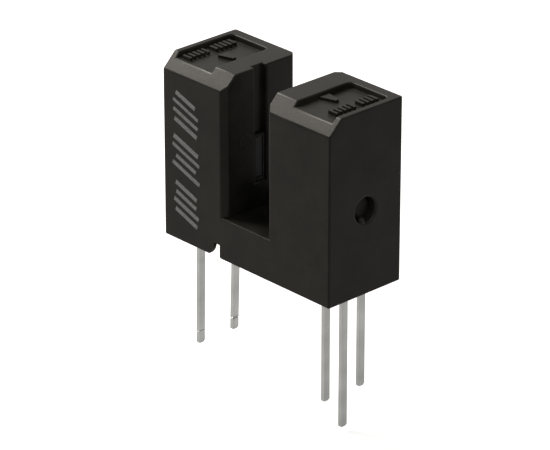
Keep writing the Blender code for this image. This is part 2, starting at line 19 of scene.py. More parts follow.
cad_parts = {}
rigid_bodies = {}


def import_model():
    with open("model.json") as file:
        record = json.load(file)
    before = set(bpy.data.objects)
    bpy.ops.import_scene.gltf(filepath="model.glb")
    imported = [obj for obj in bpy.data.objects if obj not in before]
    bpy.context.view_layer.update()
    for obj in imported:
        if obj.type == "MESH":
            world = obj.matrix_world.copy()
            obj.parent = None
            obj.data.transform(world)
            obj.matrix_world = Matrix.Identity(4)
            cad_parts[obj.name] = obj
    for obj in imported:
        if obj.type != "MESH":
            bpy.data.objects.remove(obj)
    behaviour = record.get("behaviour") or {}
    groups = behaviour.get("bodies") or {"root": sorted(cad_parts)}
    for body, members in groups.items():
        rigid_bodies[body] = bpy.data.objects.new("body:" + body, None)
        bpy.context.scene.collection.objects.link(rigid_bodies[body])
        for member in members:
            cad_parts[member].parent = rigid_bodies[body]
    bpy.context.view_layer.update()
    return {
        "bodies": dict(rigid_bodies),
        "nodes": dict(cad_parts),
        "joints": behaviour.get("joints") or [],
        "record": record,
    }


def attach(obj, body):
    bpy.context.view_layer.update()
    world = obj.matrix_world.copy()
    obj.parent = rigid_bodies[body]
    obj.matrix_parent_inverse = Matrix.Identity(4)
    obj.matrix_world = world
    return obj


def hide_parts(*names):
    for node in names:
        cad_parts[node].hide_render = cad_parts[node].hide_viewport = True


MM = 0.001
WELD = 1e-5
FLAT = math.radians(0.3)
BEAM_HEIGHT = 5.0
LOG = logging.getLogger("slotted_switch")

Pair = tuple[float, float]
Place = tuple[float, float, float]
Shape = bmesh.types.BMesh
Tree = bpy.types.NodeTree
Socket = bpy.types.NodeSocket
Finish = bpy.types.Material


class Side(Enum):
    """The tower that a shape belongs to, as the sign of its X."""

    EMITTER = -1
    DETECTOR = 1


class Plane(Enum):
    """The plane in which an outline is drawn, by the axes of its two numbers."""

    XY = (0, 1, 2)
    XZ = (0, 2, 1)
    YZ = (1, 2, 0)


# Colour and node tools


def linear(hex_colour: str) -> tuple[float, float, float, float]:
    """Turn an sRGB hex colour into linear values.

    Args:
        hex_colour: Six hex digits.

    Returns:
        Linear red, green and blue, and an alpha of 1.
    """
    values = [int(hex_colour[place:place + 2], 16) / 255 for place in (0, 2, 4)]
    straight = [v / 12.92 if v <= 0.04045 else ((v + 0.055) / 1.055) ** 2.4 for v in values]
    return (*straight, 1.0)


def fresh_tree(holder: Any) -> Tree:
    """Give the node tree of a new material or world, emptied."""
    holder.use_nodes = True
    holder.node_tree.nodes.clear()
    return holder.node_tree


def add_node(
    tree: Tree,
    kind: str,
    settings: Optional[dict[str, Any]] = None,
    links: Optional[dict[Any, Socket]] = None,
    values: Optional[dict[Any, Any]] = None,
) -> bpy.types.Node:
    """Add one node with its settings, input values and links.

    Args:
        tree: The tree that takes the node.
        kind: The node's type name.
        settings: Properties of the node itself.
        links: Sockets to join to the node's inputs, by input name or number.
        values: Values of unlinked inputs, by input name or number.

    Returns:
        The new node.
    """
    node = tree.nodes.new(kind)
    for name, value in (settings or {}).items():
        setattr(node, name, value)
    for name, value in (values or {}).items():
        node.inputs[name].default_value = value
    for name, socket in (links or {}).items():
        tree.links.new(socket, node.inputs[name])
    return node


def start_material(name: str) -> tuple[Finish, Tree, Socket]:
    """Start a procedural material.

    Args:
        name: The finish's name.

    Returns:
        The material, its node tree and coordinates that stay with the object.
    """
    material = bpy.data.materials.new(name)
    tree = fresh_tree(material)
    return material, tree, add_node(tree, "ShaderNodeTexCoord").outputs["Object"]


def end_material(tree: Tree, links: dict[str, Socket], values: dict[str, float]) -> None:
    """Close a material with its Principled shader.

    Args:
        tree: The material's tree.
        links: Sockets that drive the shader's inputs.
        values: The inputs that are the same all over.
    """
    shader = add_node(tree, "ShaderNodeBsdfPrincipled", links=links, values=values)
    add_node(tree, "ShaderNodeOutputMaterial", links={"Surface": shader.outputs[0]})


def per_metre(size: float) -> float:
    """Give the texture scale at which one feature is as wide as a size in millimetres."""
    return 1 / (size * MM)


def noise(
    tree: Tree, place: Socket, size: float, detail: float = 3.0, roughness: float = 0.5
) -> Socket:
    """Add a noise texture.

    Args:
        tree: The tree that takes it.
        place: Its coordinates.
        size: The width of its features in millimetres.
        detail: How many finer layers it has.
        roughness: How strong they are.

    Returns:
        Its value.
    """
    return add_node(
        tree, "ShaderNodeTexNoise", links={"Vector": place},
        values={"Scale": per_metre(size), "Detail": detail, "Roughness": roughness},
    ).outputs[0]


def stretched(tree: Tree, place: Socket, share: float) -> Socket:
    """Draw coordinates out along Z, so that a texture is 1 / share times as long there."""
    return add_node(
        tree, "ShaderNodeMapping", links={"Vector": place}, values={"Scale": (1.0, 1.0, share)},
    ).outputs[0]


def two_tone(tree: Tree, value: Socket, *marks: tuple[float, str]) -> Socket:
    """Turn a value into a colour between two.

    Args:
        tree: The tree that takes the ramp.
        value: What drives it.
        marks: A place from 0 to 1 and an sRGB hex colour for each of the two.

    Returns:
        The colour.
    """
    ramp = add_node(tree, "ShaderNodeValToRGB", links={"Fac": value})
    for element, (place, colour) in zip(ramp.color_ramp.elements, marks):
        element.position = place
        element.color = linear(colour)
    return ramp.outputs[0]


def mapped(tree: Tree, value: Socket, source: Pair, target: Pair) -> Socket:
    """Map a value from a source range to a target range, and hold it inside."""
    return add_node(
        tree, "ShaderNodeMapRange", links={"Value": value},
        values={
            "From Min": source[0], "From Max": source[1], "To Min": target[0], "To Max": target[1],
        },
    ).outputs[0]


def bumped(tree: Tree, height: Socket, strength: float, depth: float) -> Socket:
    """Turn a height into a normal, for bumps of a depth in millimetres."""
    return add_node(
        tree, "ShaderNodeBump", links={"Height": height},
        values={"Strength": strength, "Distance": depth * MM},
    ).outputs[0]


# Finishes


@dataclass(frozen=True)
class MouldedPlastic:
    """Black glass-filled PBT from an eroded mould: matt, with a fine even grit."""

    name: str = "moulded_black_pbt"
    dark: str = "131310"
    light: str = "1c1b18"
    roughness: Pair = (0.28, 0.42)
    specular: float = 0.055
    cloud: float = 1.6
    cloud_range: Pair = (0.3, 0.7)
    fibre: float = 0.3
    fibre_share: float = 0.35
    fibre_edge: Pair = (0.05, 0.16)
    fibre_tone: float = 0.12
    grit: float = 0.09
    grit_height: float = 0.007
    grit_strength: float = 0.7

    def material(self) -> Finish:
        """Build the plastic: grit from the mould, faint clouds and short pale fibres."""
        material, tree, place = start_material(self.name)
        clouds = noise(tree, place, self.cloud, roughness=0.55)
        grit = noise(tree, place, self.grit, roughness=0.6)
        fibres = add_node(
            tree, "ShaderNodeTexVoronoi", {"feature": "F1"},
            {"Vector": stretched(tree, place, self.fibre_share)},
            {"Scale": per_metre(self.fibre), "Randomness": 1.0},
        )
        speck = mapped(tree, fibres.outputs["Distance"], self.fibre_edge, (self.fibre_tone, 0.0))
        both = add_node(
            tree, "ShaderNodeMath", {"operation": "ADD"}, {0: clouds, 1: speck}
        ).outputs[0]
        end_material(
            tree,
            {
                "Base Color": two_tone(tree, both, (0.35, self.dark), (0.72, self.light)),
                "Roughness": mapped(tree, clouds, self.cloud_range, self.roughness),
                "Normal": bumped(tree, grit, self.grit_strength, self.grit_height),
            },
            {"Specular IOR Level": self.specular},
        )
        return material


@dataclass(frozen=True)
class TinnedLead:
    """Dip-tinned copper strip: soft grey metal with faint lines along its length."""

    name: str = "tinned_copper"
    dull: str = "868785"
    bright: str = "949594"
    roughness: Pair = (0.4, 0.32)
    line: float = 0.05
    line_share: float = 0.06
    line_height: float = 0.0025
    line_strength: float = 0.6
    blotch: float = 1.5
    blotch_range: Pair = (0.3, 0.7)

    def material(self) -> Finish:
        """Build the tin: rolled lines along Z under a slightly blotched coat."""
        material, tree, place = start_material(self.name)
        lines = noise(tree, stretched(tree, place, self.line_share), self.line, 2.0)
        blotches = noise(tree, place, self.blotch, 2.0)
        low, high = self.blotch_range
        end_material(
            tree,
            {
                "Base Color": two_tone(tree, blotches, (low, self.dull), (high, self.bright)),
                "Roughness": mapped(tree, blotches, self.blotch_range, self.roughness),
                "Normal": bumped(tree, lines, self.line_strength, self.line_height),
            },
            {"Metallic": 1.0},
        )
        return material


@dataclass(frozen=True)
class PadInk:
    """Grey pad-printed ink: a thin matt film, a little worn where it lies on the grit."""

    name: str = "grey_pad_ink"
    thin: str = "3d3d3d"
    full: str = "5f5f60"
    roughness: float = 0.7
    specular: float = 0.3
    wear: float = 0.12
    wear_height: float = 0.004
    wear_strength: float = 0.4

    def material(self) -> Finish:
        """Build the ink, whose tone breaks up where the film is thin."""
        material, tree, place = start_material(self.name)
        worn = noise(tree, place, self.wear, 4.0, 0.7)
        end_material(
            tree,
            {
                "Base Color": two_tone(tree, worn, (0.32, self.thin), (0.52, self.full)),
                "Normal": bumped(tree, worn, self.wear_strength, self.wear_height),
            },
            {"Roughness": self.roughness, "Specular IOR Level": self.specular},
        )
        return material


@dataclass(frozen=True)
class CastEpoxy:
    """Transfer-moulded epoxy of a capsule, tinted, with faint flow clouds."""

    name: str
    pale: str
    deep: str
    transmission: float
    specular: float
    roughness: float = 0.4
    ior: float = 1.54
    cloud: float = 0.9
    cloud_height: float = 0.01
    cloud_strength: float = 0.3

    def material(self) -> Finish:
        """Build the epoxy."""
        material, tree, place = start_material(self.name)
        clouds = noise(tree, place, self.cloud)
        end_material(
            tree,
            {
                "Base Color": two_tone(tree, clouds, (0.35, self.deep), (0.7, self.pale)),
                "Normal": bumped(tree, clouds, self.cloud_strength, self.cloud_height),
            },
            {
                "Roughness": self.roughness, "IOR": self.ior, "Specular IOR Level": self.specular,
                "Transmission Weight": self.transmission,
            },
        )
        return material


@dataclass(frozen=True)
class SmallMetal:
    """A metal or a metal-filled paste at the scale of a chip, with a fine grain."""

    name: str
    dull: str
    bright: str
    roughness: float
    grain: float
    grain_height: float
    grain_strength: float = 0.5

    def material(self) -> Finish:
        """Build the metal with a mottled tone and a grain."""
        material, tree, place = start_material(self.name)
        grain = noise(tree, place, self.grain)
        end_material(
            tree,
            {
                "Base Color": two_tone(tree, grain, (0.35, self.dull), (0.65, self.bright)),
                "Normal": bumped(tree, grain, self.grain_strength, self.grain_height),
            },
            {"Roughness": self.roughness, "Metallic": 1.0},
        )
        return material


@dataclass(frozen=True)
class ChipFace:
    """Polished semiconductor: dark and glassy, with the grid of its cells faintly showing."""

    name: str = "polished_chip"
    field_colour: str = "2c3038"
    line_colour: str = "6f7480"
    roughness: float = 0.15
    metallic: float = 0.4
    cell: float = 0.08
    line_share: float = 0.04

    def material(self) -> Finish:
        """Build the chip with pale lines between its cells."""
        material, tree, place = start_material(self.name)
        field = linear(self.field_colour)
        cells = add_node(
            tree, "ShaderNodeTexBrick", {"offset": 0.0}, {"Vector": place},
            {
                "Scale": per_metre(self.cell), "Mortar Size": self.line_share, "Brick Width": 1.0,
                "Row Height": 1.0, "Color1": field, "Color2": field,
                "Mortar": linear(self.line_colour),
            },
        )
        end_material(
            tree, {"Base Color": cells.outputs[0]},
            {"Roughness": self.roughness, "Metallic": self.metallic},
        )
        return material


# Mesh tools, all in millimetres until finish_piece


def arc(centre: Pair, radius: float, start: float, end: float, steps: int = 10) -> list[Pair]:
    """Give the points of an arc.

    Args:
        centre: The arc's centre.
        radius: Its radius.
        start: Its first angle in degrees.
        end: Its last angle in degrees.
        steps: How many straight steps it is drawn with.

    Returns:
        The points, first to last.
    """
    angles = [math.radians(start + (end - start) * step / steps) for step in range(steps + 1)]
    return [(centre[0] + radius * math.cos(a), centre[1] + radius * math.sin(a)) for a in angles]


def prism(outline: Sequence[Pair], low: float, high: float, plane: Plane) -> Shape:
    """Extrude an outline into a closed solid.

    Args:
        outline: The outline's points, in order.
        low: Where the solid starts on the third axis.
        high: Where it ends.
        plane: The plane of the outline.

    Returns:
        The solid.
    """
    shape = bmesh.new()
    rings = []
    for level in (low, high):
        ring = []
        for first, second in outline:
            place = [0.0, 0.0, 0.0]
            for axis, value in zip(plane.value, (first, second, level)):
                place[axis] = value
            ring.append(shape.verts.new(place))
        rings.append(ring)
    count = len(outline)
    shape.faces.new(rings[0])
    shape.faces.new(rings[1])
    for index in range(count):
        after = (index + 1) % count
        shape.faces.new((rings[0][index], rings[0][after], rings[1][after], rings[1][index]))
    bmesh.ops.recalc_face_normals(shape, faces=shape.faces)
    return shape


def disc(
    centre: Pair, radius: float, low: float, high: float, plane: Plane, steps: int = 40
) -> Shape:
    """Make a round disc across a plane, between two levels."""
    return prism(arc(centre, radius, 0, 360, steps)[:-1], low, high, plane)


def block(low: Sequence[float], high: Sequence[float]) -> Shape:
    """Make a box between two corners."""
    outline = [(low[0], low[1]), (high[0], low[1]), (high[0], high[1]), (low[0], high[1])]
    return prism(outline, low[2], high[2], Plane.XY)


def turned(
    profile: Sequence[Pair],
    base: float,
    side: Side,
    height: float,
    offset: float = 0.0,
    steps: int = 72,
) -> Shape:
    """Turn a profile about a line along X.

    Args:
        profile: Radius and depth towards the slot for each point, from the rim to the axis.
        base: The distance from the middle plane at which the depth is zero.
        side: The tower.
        height: The line's height.
        offset: The line's Y.
        steps: How many steps the turn has.

    Returns:
        The solid, closed at its outer end.
    """
    shape = bmesh.new()
    rings = []
    for radius, depth in profile:
        x = side.value * (base - depth)
        if radius == 0:
            rings.append([shape.verts.new((x, offset, height))])
            continue
        ring = []
        for step in range(steps):
            angle = math.tau * step / steps
            y = offset + radius * math.cos(angle)
            ring.append(shape.verts.new((x, y, height + radius * math.sin(angle))))
        rings.append(ring)
    for near, far in zip(rings, rings[1:]):
        for step in range(steps):
            after = (step + 1) % steps
            if len(far) == 1:
                shape.faces.new((near[step], near[after], far[0]))
            else:
                shape.faces.new((near[step], near[after], far[after], far[step]))
    shape.faces.new(rings[0])
    bmesh.ops.recalc_face_normals(shape, faces=shape.faces)
    return shape


def across(side: Side, first: float, second: float) -> Pair:
    """Give the low and high X of a span stated as distances from the middle plane."""
    low, high = sorted((side.value * first, side.value * second))
    return low, high


def beam_box(side: Side, near: float, far: float, width: float, height: float) -> Shape:
    """Make a box centred on the beam's axis.

    Args:
        side: The tower.
        near: The distance from the middle plane at which the box starts.
        far: The distance at which it ends.
        width: Its size along the slot.
        height: Its height.

    Returns:
        The box.
    """
    low, high = across(side, near, far)
    wide, tall = width / 2, height / 2
    return block((low, -wide, BEAM_HEIGHT - tall), (high, wide, BEAM_HEIGHT + tall))


def rough_object(name: str, shape: Shape) -> bpy.types.Object:
    """Put a shape in the scene while it is worked on, and free it."""
    mesh = bpy.data.meshes.new(name)
    shape.to_mesh(mesh)
    shape.free()
    item = bpy.data.objects.new(name, mesh)
    bpy.context.scene.collection.objects.link(item)
    return item


def baked(item: bpy.types.Object) -> bpy.types.Mesh:
    """Give an object's mesh with its modifiers applied."""
    bpy.context.view_layer.update()
    graph = bpy.context.evaluated_depsgraph_get()
    return bpy.data.meshes.new_from_object(item.evaluated_get(graph))


def merged(shape: Shape) -> Shape:
    """Merge a shape's doubled points and the faces that lie in one plane."""
    bmesh.ops.remove_doubles(shape, verts=shape.verts, dist=WELD)
    bmesh.ops.dissolve_limit(shape, angle_limit=FLAT, verts=shape.verts, edges=shape.edges)
    return shape


def combine(base: Shape, others: Iterable[Shape], operation: str = "DIFFERENCE") -> Shape:
    """Cut solids out of a solid, or join them to it.

    Args:
        base: The solid.
        others: The solids to take away or to add.
        operation: DIFFERENCE or UNION.

    Returns:
        The new solid, with its doubles merged and its flat faces whole.
    """
    item = rough_object("base", base)
    for place, other in enumerate(others):
        tool = rough_object("tool_%d" % place, other)
        modifier = item.modifiers.new("Boolean", "BOOLEAN")
        modifier.operation = operation
        modifier.solver = "MANIFOLD"
        modifier.object = tool
        mesh = baked(item)
        item.modifiers.clear()
        item.data = mesh
        bpy.data.objects.remove(tool)
    shape = bmesh.new()
    shape.from_mesh(item.data)
    bpy.data.objects.remove(item)
    return merged(shape)


def round_sharp(shape: Shape, radius: float, segments: int, sharp: float = 40.0) -> Shape:
    """Round the sharp outer edges of a solid, and leave its inner corners crisp.

    Args:
        shape: The solid, changed in place.
        radius: The rounding's width.
        segments: How many strips it is made of.
        sharp: The least angle in degrees of an edge that is rounded.

    Returns:
        The same solid.
    """
    limit = math.radians(sharp)
    edges = [
        e for e in shape.edges
        if len(e.link_faces) == 2 and e.is_convex and e.calc_face_angle() > limit
    ]
    bmesh.ops.bevel(
        shape, geom=edges, offset=radius, segments=segments, profile=0.5,
        affect="EDGES", clamp_overlap=False,
    )
    bmesh.ops.remove_doubles(shape, verts=shape.verts, dist=WELD)
    return shape


def finish_piece(
    name: str, shape: Shape, material: Finish, smooth: float = 38.0
) -> bpy.types.Object:
    """Turn a worked shape into a finished piece at the origin.

    Args:
        name: The piece's name.
        shape: Its shape, which is freed.
        material: Its finish.
        smooth: Edges flatter than this many degrees are shaded smooth.

    Returns:
        The piece.
    """
    bmesh.ops.scale(shape, vec=(MM, MM, MM), verts=shape.verts)
    for face in shape.faces:
        face.smooth = True
    limit = math.radians(smooth)
    for edge in shape.edges:
        edge.smooth = len(edge.link_faces) == 2 and edge.calc_face_angle() < limit
    item = rough_object(name, shape)
    item.data.materials.append(material)
    weighted = item.modifiers.new("Weighted normals", "WEIGHTED_NORMAL")
    weighted.keep_sharp = True
    mesh = baked(item)
    item.modifiers.clear()
    item.data = mesh
    mesh.name = name
    return item


def settle(item: bpy.types.Object, nodes: Sequence[str] = ()) -> None:
    """Attach a piece to the root body, and hide the CAD nodes that it stands for.

    Args:
        item: The piece.
        nodes: The CAD nodes that it replaces.
    """
    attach(item, "root")
    if nodes:
        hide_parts(*nodes)
    LOG.info("%s: %d faces", item.name, len(item.data.polygons))


# Marks that repeat


@dataclass
class MarkRow:
    """A row of small generic blocks, drawn by one Geometry Nodes tree."""

    name: str
    start: Place
    step: Place
    count: int
    size: Place
    spread: Place
    group: int
    seed: int
    turn: Place = (0.0, 0.0, 0.0)

    def tree(self) -> Tree:
        """Build the tree that sets blocks of varied size along a line.

        Returns:
            The tree, with named inputs for the row's sizes, seed and finish.
        """
        tree = bpy.data.node_groups.new("row_of_marks", "GeometryNodeTree")
        face = tree.interface
        face.new_socket(name="Marks", in_out="OUTPUT", socket_type="NodeSocketGeometry")
        for label, kind in (
            ("Start", "Vector"), ("Step", "Vector"), ("Count", "Int"), ("Size", "Vector"),
            ("Spread", "Vector"), ("Turn", "Vector"), ("Group", "Int"), ("Seed", "Int"),
            ("Finish", "Material"),
        ):
            face.new_socket(name=label, in_out="INPUT", socket_type="NodeSocket" + kind)
        given = add_node(tree, "NodeGroupInput").outputs
        line = add_node(
            tree, "GeometryNodeMeshLine", {"mode": "OFFSET"},
            {"Count": given["Count"], "Start Location": given["Start"], "Offset": given["Step"]},
        )
        index = add_node(tree, "GeometryNodeInputIndex")
        place = add_node(
            tree, "FunctionNodeIntegerMath", {"operation": "MODULO"},
            {0: index.outputs[0], 1: given["Group"]},
        )
        kept = add_node(
            tree, "FunctionNodeCompare", {"data_type": "INT", "operation": "NOT_EQUAL"},
            {"A": place.outputs[0]}, {"B": 0},
        )
        varied = add_node(
            tree, "FunctionNodeRandomValue", {"data_type": "FLOAT_VECTOR"},
            {"ID": index.outputs[0], "Seed": given["Seed"]},
            {0: (0.0, 0.0, 0.0), 1: (1.0, 1.0, 1.0)},
        )
        less = add_node(
            tree, "ShaderNodeVectorMath", {"operation": "MULTIPLY"},
            {0: varied.outputs[0], 1: given["Spread"]},
        )
        size = add_node(
            tree, "ShaderNodeVectorMath", {"operation": "SUBTRACT"},
            {0: given["Size"], 1: less.outputs[0]},
        )
        turn = add_node(tree, "FunctionNodeEulerToRotation", links={0: given["Turn"]})
        cube = add_node(tree, "GeometryNodeMeshCube", values={"Size": (1.0, 1.0, 1.0)})
        row = add_node(
            tree, "GeometryNodeInstanceOnPoints",
            links={
                "Points": line.outputs[0], "Selection": kept.outputs[0],
                "Instance": cube.outputs[0], "Rotation": turn.outputs[0], "Scale": size.outputs[0],
            },
        )
        real = add_node(tree, "GeometryNodeRealizeInstances", links={0: row.outputs[0]})
        dressed = add_node(
            tree, "GeometryNodeSetMaterial",
            links={"Geometry": real.outputs[0], "Material": given["Finish"]},
        )
        add_node(tree, "NodeGroupOutput", links={0: dressed.outputs[0]})
        return tree

    def shape(self, material: Finish) -> Shape:
        """Run the tree and give the row as a plain shape in millimetres."""
        tree = self.tree()
        item = rough_object(self.name, bmesh.new())
        modifier = item.modifiers.new("Row", "NODES")
        modifier.node_group = tree
        given = {
            "Start": self.start, "Step": self.step, "Count": self.count, "Size": self.size,
            "Spread": self.spread, "Turn": self.turn, "Group": self.group, "Seed": self.seed,
            "Finish": material,
        }
        for socket in tree.interface.items_tree:
            if socket.in_out == "INPUT":
                modifier[socket.identifier] = given[socket.name]
        mesh = baked(item)
        bpy.data.objects.remove(item)
        shape = bmesh.new()
        shape.from_mesh(mesh)
        return shape


# Housing


@dataclass
class Housing:
    """The one-piece moulding: a bridge with two towers, each open beneath for its capsule."""

    width: float = 12.2
    front: float = 2.494
    back: float = 2.5
    height: float = 10.0
    bridge: float = 2.3
    slot: float = 3.0
    slot_chamfer: float = 0.3
    top_chamfer: float = 0.8
    back_corner: float = 0.15
    front_corner: float = 0.1
    soft_edge: float = 0.08
    notch: float = 0.43
    notch_height: float = 0.76
    notch_inset: float = 1.9
    notch_foot: float = 0.6
    notch_bridge: float = 0.12
    recess_depth: float = 0.28
    recess_rim: float = 0.4
    recess_width: float = 2.7
    recess_back_rim: float = 0.63
    recess_corner: float = 0.25
    groove: float = 0.8
    groove_depth: float = 0.3
    window_height: float = 2.6
    window_depth: float = 0.12
    slit: float = 0.5
    slit_height: float = 2.2
    slit_overcut: float = 0.15
    inner_wall: float = 0.8
    end_wall: float = 0.95
    side_wall: float = 0.3
    mouth_flare: float = 0.2
    mouth_height: float = 1.2
    pocket_corner: float = 0.2
    pocket_top: float = 6.95
    hole: float = 0.68
    hole_height: float = 4.6
    hole_rim: float = 0.15
    hole_overcut: float = 0.3
    ejector_radius: float = 0.4
    ejector_depth: float = 0.04
    ejector_rise: float = 0.06
    ejector_offset: float = 1.05
    ejector_height: float = 6.2
    ejector_spots: tuple[Pair, ...] = ((-0.6, -1.4), (-0.6, 1.4), (0.9, 0.0))
    gate_x: float = 0.2
    gate_radius: float = 0.45
    gate_depth: float = 0.1
    nub_share: float = 0.42
    nub_sink: float = 0.4
    nub_sides: int = 11
    nub_tear: float = 0.03
    nub_turn: float = 2.3
    burr_size: Place = (0.2, 0.22, 0.24)
    burr_inset: float = 0.21
    burr_offset: float = 0.16
    burr_rise: float = 0.08
    block_size: Place = (0.66, 0.2, 0.36)
    block_spread: Place = (0.16, 0.06, 0.0)
    block_step: float = 0.3
    wedge_length: float = 0.85
    wedge_wide: Pair = (-0.35, 0.3)
    wedge_narrow: Pair = (-0.1, 0.12)
    wedge_sink: float = 0.02
    wedge_rise: float = 0.14
    over: float = 0.5

    def body(self) -> Shape:
        """Draw the block and cut the slot, the top slope and both recesses."""
        end = self.width / 2
        outline: list[Pair] = []
        for x, y, radius, start in (
            (1, self.back, self.back_corner, 0),
            (-1, self.back, self.back_corner, 90),
            (-1, -self.front, self.front_corner, 180),
            (1, -self.front, self.front_corner, 270),
        ):
            centre = (x * (end - radius), y - math.copysign(radius, y))
            outline += arc(centre, radius, start, start + 90, 5)
        block_shape = prism(outline, 0.0, self.height, Plane.XY)
        cutters = [self.slot_cutter(), self.slope_cutter()]
        for side in Side:
            cutters += [self.recess_cutter(side), self.window_cutter(side)]
        cutters.append(self.groove_cutter(Side.EMITTER))
        return combine(block_shape, cutters)

    def slot_cutter(self) -> Shape:
        """Draw the slot with its four chamfered upright edges."""
        half = self.slot / 2
        wide = half + self.slot_chamfer + self.over
        front = self.front - self.slot_chamfer
        back = self.back - self.slot_chamfer
        outline = [
            (-half, -front), (-wide, -self.front - self.over), (wide, -self.front - self.over),
            (half, -front), (half, back), (wide, self.back + self.over),
            (-wide, self.back + self.over), (-half, back),
        ]
        return prism(outline, self.bridge, self.height + self.over, Plane.XY)

    def slope_cutter(self) -> Shape:
        """Draw what the slope at the top front takes away."""
        reach = self.top_chamfer + self.over
        outline = [
            (-self.front - self.over, self.height - reach),
            (-self.front + reach, self.height + self.over),
            (-self.front - self.over, self.height + self.over),
        ]
        end = self.width / 2 + self.over
        return prism(outline, -end, end, Plane.YZ)

    def recess_cutter(self, side: Side) -> Shape:
        """Draw the sunk top of a tower, open at the front."""
        outer = self.width / 2 - self.recess_rim
        low, high = across(side, outer - self.recess_width, outer)
        back = self.back - self.recess_back_rim
        radius = self.recess_corner
        outline = [(low, -self.front - self.over), (high, -self.front - self.over)]
        outline += arc((high - radius, back - radius), radius, 0, 90, 8)
        outline += arc((low + radius, back - radius), radius, 90, 180, 8)
        return prism(outline, self.height - self.recess_depth, self.height + self.over, Plane.XY)

    def groove_cutter(self, side: Side) -> Shape:
        """Draw the groove that runs down a tower's inner face to the ledge over its window."""
        inner = self.slot / 2
        low, high = across(side, inner - self.over, inner + self.groove_depth)
        half = self.groove / 2
        bottom = BEAM_HEIGHT + self.window_height / 2
        return block((low, -half, bottom), (high, half, self.height + self.over))

    def window_cutter(self, side: Side) -> Shape:
        """Draw the shallow sunk field round a tower's slit."""
        inner = self.slot / 2
        near, far = inner - self.over, inner + self.window_depth
        return beam_box(side, near, far, self.groove, self.window_height)

    def slit_cutter(self, side: Side) -> Shape:
        """Draw the slit that lets the beam through."""
        inner = self.slot / 2
        deep = inner + self.inner_wall + self.slit_overcut
        return beam_box(side, inner, deep, self.slit, self.slit_height)

    def pocket_span(self, side: Side) -> tuple[float, float, float]:
        """Give a pocket's low and high X, and half its width along the slot."""
        low, high = across(side, self.slot / 2 + self.inner_wall, self.width / 2 - self.end_wall)
        return low, high, self.back - self.side_wall

    def pocket_cutter(self, side: Side) -> Shape:
        """Draw the pocket that takes a capsule from beneath."""
        low, high, wide = self.pocket_span(side)
        radius = self.pocket_corner
        outline: list[Pair] = []
        corners = ((high, wide, 0), (low, wide, 90), (low, -wide, 180), (high, -wide, 270))
        for x, y, start in corners:
            centre = (x - radius if x == high else x + radius, y - math.copysign(radius, y))
            outline += arc(centre, radius, start, start + 90, 6)
        return prism(outline, -self.over, self.pocket_top, Plane.XY)

    def mouth_cutter(self, side: Side) -> Shape:
        """Draw the flare that leads a capsule into its pocket."""
        low, high, wide = self.pocket_span(side)
        shape = block((low, -wide, -self.mouth_height), (high, wide, self.mouth_height))
        middle = (low + high) / 2
        for vertex in shape.verts:
            if vertex.co.z < 0:
                vertex.co.x += math.copysign(2 * self.mouth_flare, vertex.co.x - middle)
                vertex.co.y += math.copysign(2 * self.mouth_flare, vertex.co.y)
        return shape

    def tool_marks(self) -> list[Shape]:
        """Draw the round gate well at the bridge's back and three ejector marks beneath it."""
        well = disc(
            (self.gate_x, self.bridge / 2), self.gate_radius, self.back - self.gate_depth,
            self.back + self.over, Plane.XZ,
        )
        return [well] + [
            disc(spot, self.ejector_radius, -self.over, self.ejector_depth, Plane.XY)
            for spot in self.ejector_spots
        ]

    def gate_nub(self) -> Shape:
        """Draw the torn nub that the sprue leaves in the gate well."""
        low = self.back - self.gate_depth - self.ejector_depth
        high = self.back - self.gate_depth * self.nub_sink
        radius = self.gate_radius * self.nub_share
        nub = disc((self.gate_x, self.bridge / 2), radius, low, high, Plane.XZ, self.nub_sides)
        for place, vertex in enumerate(nub.verts):
            if vertex.co.y > low + self.ejector_depth:
                vertex.co.y -= self.nub_tear * math.sin(self.nub_turn * place)
        return nub

    def end_burr(self) -> Shape:
        """Draw the small moulding burr on the lower wall of the detector's end hole."""
        shape = bmesh.new()
        bmesh.ops.create_icosphere(shape, subdivisions=3, radius=1.0)
        bmesh.ops.scale(shape, vec=self.burr_size, verts=shape.verts)
        height = self.hole_height - self.hole + self.burr_rise
        place = (self.width / 2 - self.burr_inset, -self.burr_offset, height)
        bmesh.ops.translate(shape, vec=place, verts=shape.verts)
        return shape

    def hole_cutter(self, side: Side) -> Shape:
        """Draw the round end hole with its rolled rim."""
        reach = self.end_wall + self.hole_overcut
        wide = self.hole + self.hole_rim
        profile = [(wide, -self.over)]
        profile += arc((wide, self.hole_rim), self.hole_rim, -90, -180, 5)
        profile += [(self.hole, reach), (0.0, reach)]
        return turned(profile, self.width / 2, side, self.hole_height)

    def notch_cutter(self) -> Shape:
        """Draw the notch beside the emitter's foot."""
        right = -self.notch_inset
        left = right - self.notch
        foot = arc((left - self.notch_foot, self.notch_foot), self.notch_foot, -90, 0, 14)
        bridge = arc((right + self.notch_bridge, self.notch_bridge), self.notch_bridge, 180, 270, 6)
        outline = [(foot[0][0], -self.over)] + foot
        outline += [(left, self.notch_height), (right, self.notch_height)] + bridge
        outline += [(bridge[-1][0], -self.over)]
        return prism(outline, -self.front - self.over, self.back + self.over, Plane.XZ)

    def ejector_pad(self) -> Shape:
        """Draw the slightly raised round ejector mark on the emitter tower's inner face."""
        proud = self.ejector_depth + self.ejector_rise
        profile = [
            (self.ejector_radius, 0.0), (self.ejector_radius, self.ejector_depth),
            (self.ejector_radius - self.ejector_rise, proud), (0.0, proud),
        ]
        base = self.slot / 2 + self.ejector_depth
        return turned(profile, base, Side.EMITTER, self.ejector_height, -self.ejector_offset)

